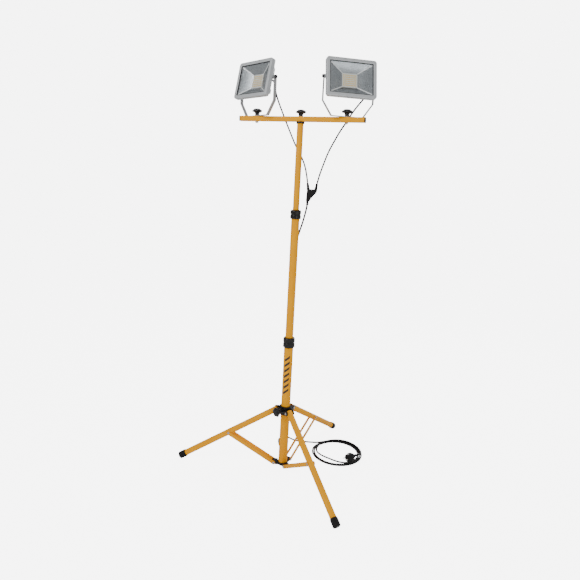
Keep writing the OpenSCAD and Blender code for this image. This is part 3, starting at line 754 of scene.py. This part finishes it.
def make_lock(node, d, bore_r, mouth_r, tube_top):
    """A twist-lock collar: a deeply ribbed grip below, a waist, and a finely ribbed nose."""
    groove_depth, fine_depth = 0.0017, 0.0005
    low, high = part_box(node)
    z0, z1, mid = low.z, high.z, (low.z + high.z) / 2
    r = d / 2
    outer = [(bore_r, z0), (r - 0.003, z0), (r, z0 + 0.003), (r, mid - 0.005), (r - 0.002, mid - 0.003),
             (r - 0.002, mid + 0.001), (r, mid + 0.003), (r, z1 - 0.006), (r - 0.0015, z1 - 0.002),
             (r - 0.004, z1), (mouth_r, z1), (mouth_r, tube_top + 0.011), (bore_r + 0.001, tube_top + 0.009),
             (bore_r + 0.001, tube_top - 0.002), (bore_r, tube_top - 0.004)]

    def grip(a, here, z):
        if here < r - 0.0035:
            return here
        inside = ease((z - z0 - 0.002) / 0.004) * (1 - ease((z - mid + 0.009) / 0.004))
        upper = ease((z - mid - 0.004) / 0.003) * (1 - ease((z - z1 + 0.009) / 0.004))
        groove = max(0.0, math.cos(15 * a)) ** 3
        fine = max(0.0, math.cos(30 * a)) ** 2
        return here - groove_depth * inside * groove - fine_depth * upper * fine

    profile = []
    for (ra, za), (rb, zb) in zip(outer, outer[1:] + outer[:1]):
        cuts = 6 if abs(zb - za) > 0.008 and min(ra, rb) > r - 0.003 else 1
        profile += [(ra + (rb - ra) * i / cuts, za + (zb - za) * i / cuts) for i in range(cuts)]
    bm = bmesh.new()
    lathe(bm, rounded(profile, 0.0007, 2, True), steps=180, loop=True, shape=grip)
    stands_for(solid(node + "_collar", bm, GLOSS, math.radians(40)), node)


# ---- Mast and crossbar ----
TUBE_WALL = 0.0015
LOWER_LOCK_D = 0.057
UPPER_LOCK_D = 0.050


def pipe(name, d, wall, low, high, place, material, steps=72):
    """A round tube with eased ends."""
    r, bore = d / 2, d / 2 - wall
    bm = bmesh.new()
    outline = [(r, low), (r, high), (bore, high), (bore, low)]
    lathe(bm, rounded(outline, 0.0005, 2, True), place, steps, True)
    return solid(name, bm, material)


def make_mast():
    """The three tubes with their locks and inner pieces, the lower hub and the stripes."""
    upright = Matrix.Identity(4)
    for node in ("lower_tube", "middle_tube", "top_tube"):
        low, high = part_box(node)
        wall = pipe(node + "_wall", high.x - low.x, TUBE_WALL, low.z, high.z, upright, YELLOW)
        stands_for(wall, node)
    lower, middle, top = (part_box(n)[1] for n in ("lower_tube", "middle_tube", "top_tube"))
    grip_gap, nose_gap = 0.0003, 0.0006
    make_lock("lower_lock_ring", LOWER_LOCK_D, lower.x + grip_gap, middle.x + nose_gap, lower.z)
    make_lock("upper_lock_ring", UPPER_LOCK_D, middle.x + grip_gap, top.x + nose_gap, middle.z)
    for node in ("lower_collet", "upper_collet", "middle_bush", "top_bush"):
        polished(node, NYLON, 0.0003)
    polished("top_plug", GLOSS, 0.0006)
    polished("lower_hub", MATTE, 0.0012)
    make_stripes()


def make_stripes():
    """Plain slanted bars on the lower tube, each a thin film bent round it."""
    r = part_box("lower_tube")[1].x + 0.00015
    film = 0.0001
    centre, half = math.radians(-84), math.radians(34)
    count, columns = 7, 12
    lowest, pitch, bar_h, bar_slant = 0.395, 0.028, 0.012, 0.022
    bm = bmesh.new()
    for i in range(count):
        z0 = lowest + pitch * i
        rows = []
        for j in range(columns + 1):
            a = centre + half * (2 * j / columns - 1)
            slant = bar_slant * j / columns
            rows.append([(r * math.cos(a), r * math.sin(a), z0 + slant),
                         (r * math.cos(a), r * math.sin(a), z0 + slant + bar_h),
                         ((r + film) * math.cos(a), (r + film) * math.sin(a), z0 + slant + bar_h),
                         ((r + film) * math.cos(a), (r + film) * math.sin(a), z0 + slant)])
        skin(bm, rows)
    goes_with(solid("warning_stripes", bm, STRIPE), "lower_tube")


def make_bar():
    """The crossbar with its caps, nuts and knobs, and the two lamp brackets."""
    polished("crossbar", YELLOW, 0.0004)
    polished("bar_end_caps", MATTE, 0.0005)
    nut_w, nut_h, strip = 0.013, 0.0065, 0.003
    bottom, top = (corner.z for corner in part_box("crossbar"))
    bm = bmesh.new()
    for name in ("left_knob_turn", "right_knob_turn"):
        here = at(name)
        nut(bm, nut_w, nut_h, Matrix.Translation((here.x, here.y, bottom - nut_h)))
    stands_for(solid("bar_nuts_hex", bm, ZINC), "bar_nuts")
    make_knob("left_knob", Matrix.Translation((at("left_knob_turn").x, 0, top + strip)), stud=0.033)
    make_knob("right_knob", Matrix.Translation((at("right_knob_turn").x, 0, top + strip)), stud=0.033)
    make_knob("centre_knob", Matrix.Translation((0, 0, top)), stud=0.054)
    for side in ("left", "right"):
        polished(side + "_yoke", STRIP, 0.0005)


# ---- Tripod ----
LEG_D = 0.030
BOOT_R = 0.018
# Each leg, with the joint of its brace on the lower hub
LEGS = (("front", "fold"), ("back", "back_brace_pivot"), ("left", "left_brace_pivot"))


def leg_pivots(name, brace_joint):
    """A leg's pivots on the lower hub, on its brace and on the upper hub, and their common direction."""
    low, mid = at(brace_joint), at(name + "_leg_pivot")
    top = low + Vector((0, 0, 2 * (mid.z - low.z)))
    return low, mid, top, axis(name + "_leg_pivot")


def make_leg(name, brace_joint):
    """A leg tube with its rubber boot, rivet and pair of flat braces."""
    _, mid, top, across = leg_pivots(name, brace_joint)
    above, below = 0.007, 0.0155
    length = 2 * (mid - top).length
    place = facing(top, (mid - top).normalized(), across)
    wall = pipe(name + "_leg_tube", LEG_D, TUBE_WALL, -above, length + below, place, YELLOW, 56)
    stands_for(wall, name + "_leg")
    make_boot(name, place, length)
    steel = bmesh.new()
    cross_bolt(steel, mid, across, grip=LEG_D + 0.0074, shank_r=0.003, head_r=0.0052, head_h=0.003)
    stands_for(solid(name + "_rivet_pin", steel, ZINC), name + "_rivet")
    polished(name + "_braces", YELLOW, 0.0006)


def make_boot(name, place, leg_length):
    """A ringed rubber boot round the leg's lower end, cut flat at the floor."""
    bm = bmesh.new()
    r, bore, reach = BOOT_R, LEG_D / 2 + 0.0001, 0.019
    start, end = leg_length - reach, leg_length + reach
    ring_count, ring_pitch = 4, 0.0052
    outline = [(bore, start), (r - 0.0012, start), (r - 0.0004, start + 0.003)]
    for i in range(ring_count):
        z = start + 0.006 + ring_pitch * i
        outline += [(r - 0.0004, z), (r + 0.0002, z + 0.0008), (r + 0.0002, z + 0.0026),
                    (r - 0.0004, z + 0.0034)]
    outline += [(r, end - 0.003), (r - 0.003, end), (0.004, end), (0.004, end - 0.003), (bore, end - 0.003)]
    lathe(bm, rounded(outline, 0.0006, 1, True), place, 56, True)
    geometry = bm.verts[:] + bm.edges[:] + bm.faces[:]
    bmesh.ops.bisect_plane(bm, geom=geometry, plane_co=(0, 0, 0), plane_no=(0, 0, -1), clear_outer=True)
    open_edges = [e for e in bm.edges if e.is_boundary]
    bmesh.ops.triangle_fill(bm, edges=open_edges, use_beauty=True)
    stands_for(solid(name + "_boot", bm, RUBBER), name + "_foot")


def make_tripod():
    """The sliding hub with its knob, the legs and the bolts of both hubs."""
    polished("upper_hub", MATTE, 0.001)
    for name, brace_joint in LEGS:
        make_leg(name, brace_joint)
    upper, lower = bmesh.new(), bmesh.new()
    for name, brace_joint in LEGS:
        low, _, top, across = leg_pivots(name, brace_joint)
        cross_bolt(upper, top, across, grip=LEG_D + 0.0112, shank_r=0.003, head_r=0.0058, head_h=0.004)
        cross_bolt(lower, low, across, grip=LEG_D + 0.0072, shank_r=0.003, head_r=0.0058, head_h=0.004)
    stands_for(solid("hub_bolt_set", upper, ZINC), "hub_bolts")
    stands_for(solid("lower_hub_bolt_set", lower, ZINC), "lower_hub_bolts")
    out, boss_reach = axis("hub_clamp_turn"), 0.0465
    boss_end = out * boss_reach + Vector((0, 0, at("hub_clamp_turn").z))
    make_knob("hub_knob", facing(boss_end, out, (0, 0, 1)), stud=0.0235)


# ---- Lamps ----
# How far a lamp's face is tipped up, and the height of its middle from the tilt axis
HEAD_PITCH = math.radians(12)
FACE_DROP = -0.0095
# A lamp's front frame: width, height and corner radius
FRAME_W, FRAME_H, FRAME_R = 0.222, 0.162, 0.012


def flat_rings(sections):
    """Rings of round-cornered rectangles in a lamp's frame, from (width, height, radius, depth)."""
    rings = []
    for w, h, r, y in sections:
        rings.append([(px, y, pz + FACE_DROP) for px, pz in rectangle(w, h, max(r, 0.0008), 6)])
    return rings


def inset_rings(outline, w, h, r):
    """Rings that follow an outline of (inset, depth) round a rectangle."""
    return flat_rings([(w - 2 * d, h - 2 * d, r - d, y) for d, y in outline])


def make_lamp(side):
    """One lamp: body, driver, front frame, seal, glass, reflector, LED board, screws and gland."""
    yaw_axis = -axis(side + "_lamp_tilt")
    yaw = math.atan2(yaw_axis.y, yaw_axis.x)
    place = (Matrix.Translation(at(side + "_lamp_tilt")) @ Matrix.Rotation(yaw, 4, "Z")
             @ Matrix.Rotation(-HEAD_PITCH, 4, "X"))
    polished(side + "_housing", GREY, 0.0008)
    polished(side + "_driver", IVORY, 0.0006)
    make_front(side, place)
    make_reflector(side, place)
    make_leds(side, place)
    make_lamp_hardware(side, place)


def make_front(side, place):
    """The front frame, the seal inside it and the glass that the seal holds."""
    bm = bmesh.new()
    rim = [(0.0, -0.012), (0.0, -0.034), (0.0128, -0.034), (0.0150, -0.0326), (0.0150, -0.032),
           (0.0085, -0.032), (0.0085, -0.026), (0.0086, -0.026), (0.0086, -0.012)]
    skin(bm, inset_rings(rounded(rim, 0.0034, 4, True), FRAME_W, FRAME_H, FRAME_R), place, True)
    stands_for(solid(side + "_front_frame", bm, GREY), side + "_bezel")

    bm = bmesh.new()
    lip = [(0.0, -0.032), (0.0, -0.026), (0.0085, -0.026), (0.0085, -0.027), (0.0020, -0.027),
           (0.0020, -0.031), (0.0085, -0.031), (0.0085, -0.0322)]
    seal_w, seal_h = FRAME_W - 0.0171, FRAME_H - 0.0171
    skin(bm, inset_rings(rounded(lip, 0.0005, 2, True), seal_w, seal_h, 0.008), place, True)
    stands_for(solid(side + "_seal", bm, RUBBER), side + "_gasket")

    bm = bmesh.new()
    pane_w, pane_h = FRAME_W - 0.0212, FRAME_H - 0.0212
    pane = [(0.0006, -0.0270), (0.0, -0.0274), (0.0, -0.0306), (0.0006, -0.0310)]
    skin(bm, inset_rings(pane, pane_w, pane_h, 0.006), place)
    stands_for(solid(side + "_pane", bm, GLASS), side + "_glass")


def make_reflector(side, place):
    """The four-sided bright reflector, with a folded seam along each of its corners, whose near-white colour
    is a painted glint.
    """
    wide, tall, deep_w, deep_h = FRAME_W - 0.033, FRAME_H - 0.033, 0.070, 0.061
    wall = 0.0009
    bm = bmesh.new()
    sections = [(wide, tall, 0.003, -0.0258), (deep_w, deep_h, 0.0022, -0.0002),
                (deep_w - 2 * wall, deep_h - 2 * wall, 0.0016, -0.0002),
                (wide - 2 * wall, tall - 2 * wall, 0.0022, -0.0258)]
    skin(bm, flat_rings(sections), place, True)
    stands_for(solid(side + "_mirror", bm, MIRROR), side + "_reflector")

    # A strip on each corner fold, in a near-white colour that paints the fold's glint.
    seam_w, seam_t, narrowing, parts = 0.0052, 0.0016, 0.25, 10
    bm = bmesh.new()
    for sx in (-1, 1):
        for sz in (-1, 1):
            front = Vector((sx * (wide / 2 - 0.0036), -0.0262, sz * (tall / 2 - 0.0036) + FACE_DROP))
            back = Vector((sx * (deep_w / 2 - 0.0016), -0.0010, sz * (deep_h / 2 - 0.0016) + FACE_DROP))
            turn = facing(front, back - front, (0, 1, 0)).to_3x3()
            rings = []
            for i in range(parts + 1):
                p = front + (back - front) * i / parts
                section = rectangle(seam_w * (1.0 - narrowing * i / parts), seam_t, 0.0007, 3)
                rings.append([p + turn @ Vector((x, y, 0)) for x, y in section])
            skin(bm, rings, place)
    goes_with(solid(side + "_mirror_seam_glints", bm, SEAM_GLINT), side + "_reflector")


def make_leds(side, place):
    """The board with its rows of chips: a white case and a yellow phosphor window each."""
    columns, rows, pitch_x, pitch_z = 9, 6, 0.0068, 0.0084
    board_w, board_h, board_r = 0.094, 0.084, 0.003
    bm = bmesh.new()
    board = [(0.0003, 0.0003), (0.0, 0.0006), (0.0, 0.0020), (0.0003, 0.0023)]
    skin(bm, inset_rings(board, board_w, board_h, board_r), place)
    case, window = rectangle(0.0056, 0.0050, 0.0006, 2), rectangle(0.0046, 0.0040, 0.0009, 3)
    cases, windows = bmesh.new(), bmesh.new()
    for c in range(columns):
        for r in range(rows):
            x = (c - (columns - 1) / 2) * pitch_x
            z = FACE_DROP + (r - (rows - 1) / 2) * pitch_z
            spot = place @ Matrix.Translation((x, 0.0003, z)) @ Matrix.Rotation(math.pi / 2, 4, "X")
            prism(cases, case, 0.0, 0.0009, spot, 0.0002)
            prism(windows, window, 0.0007, 0.0011, spot, 0.0001)
    stands_for(solid(side + "_board", bm, BOARD), side + "_led_board")
    goes_with(solid(side + "_chip_cases", cases, BOARD), side + "_led_board")
    goes_with(solid(side + "_chip_windows", windows, PHOSPHOR), side + "_led_board")


def make_lamp_hardware(side, place):
    """Tilt screws with washers, and the gland with its dome nut and tapered sleeve."""
    bm = bmesh.new()
    arm = FRAME_W / 2 + 0.002
    strip = 0.0016
    knurls, knurl_depth = 24, 0.0004
    washer = [(0.003, -0.018), (0.003, 0.0002), (0.0078, 0.0002), (0.0078, 0.0012), (0.003, 0.0012)]
    head = [(0.0055, 0.0012), (0.0068, 0.0014), (0.0068, 0.0056), (0.0060, 0.0062), (0.0030, 0.0062),
            (0.0030, 0.0040), (0.0008, 0.0036)]

    def knurled(a, r, z):
        return r - knurl_depth * max(0, math.cos(knurls * a)) * (r > 0.0064)

    for s in (-1, 1):
        here = place @ facing((s * (arm + strip), 0, 0), (s, 0, 0), (0, 0, 1))
        lathe(bm, rounded(washer, 0.0002, 1), here, 32)
        lathe(bm, rounded(head, 0.0005, 2), here, 48, shape=knurled)
    stands_for(solid(side + "_tilt_bolts", bm, DARK_STEEL), side + "_tilt_screws")

    bm = bmesh.new()
    gland_x, gland_y = 0.040, 0.019
    gland = place @ Matrix.Translation((gland_x, gland_y, 0)) @ Matrix.Rotation(math.pi / 2, 4, "Y")
    grooves, groove_depth = 12, 0.0004
    neck = [(0.0060, -0.004), (0.0060, 0.0005), (0.0045, 0.0006)]
    dome = [(0.0076, 0.0040), (0.0078, 0.0052), (0.0076, 0.0092), (0.0066, 0.0124), (0.0056, 0.0140),
            (0.0050, 0.0150)]
    sleeve = [(0.0052, 0.0138)]
    for i in range(3):
        r, z = 0.0051 - 0.0001 * i, 0.0150 + 0.0024 * i
        sleeve += [(r, z), (r, z + 0.0012), (0.0045, z + 0.0014), (0.0045, z + 0.0022)]
    sleeve += [(0.0047, 0.0224), (0.0040, 0.0232)]

    def grooved(a, r, z):
        return r - groove_depth * max(0, math.cos(grooves * a)) * (r > 0.0070)

    lathe(bm, rounded(neck, 0.0003, 1), gland, 32)
    nut(bm, 0.0150, 0.0045, gland)
    lathe(bm, rounded(dome, 0.0006, 2), gland, 48, shape=grooved)
    lathe(bm, sleeve, gland, 32)
    stands_for(solid(side + "_cable_gland", bm, MATTE), side + "_gland")


make_camera()
make_studio()
make_cords()
make_mast()
make_bar()
make_tripod()
make_lamp("left")
make_lamp("right")
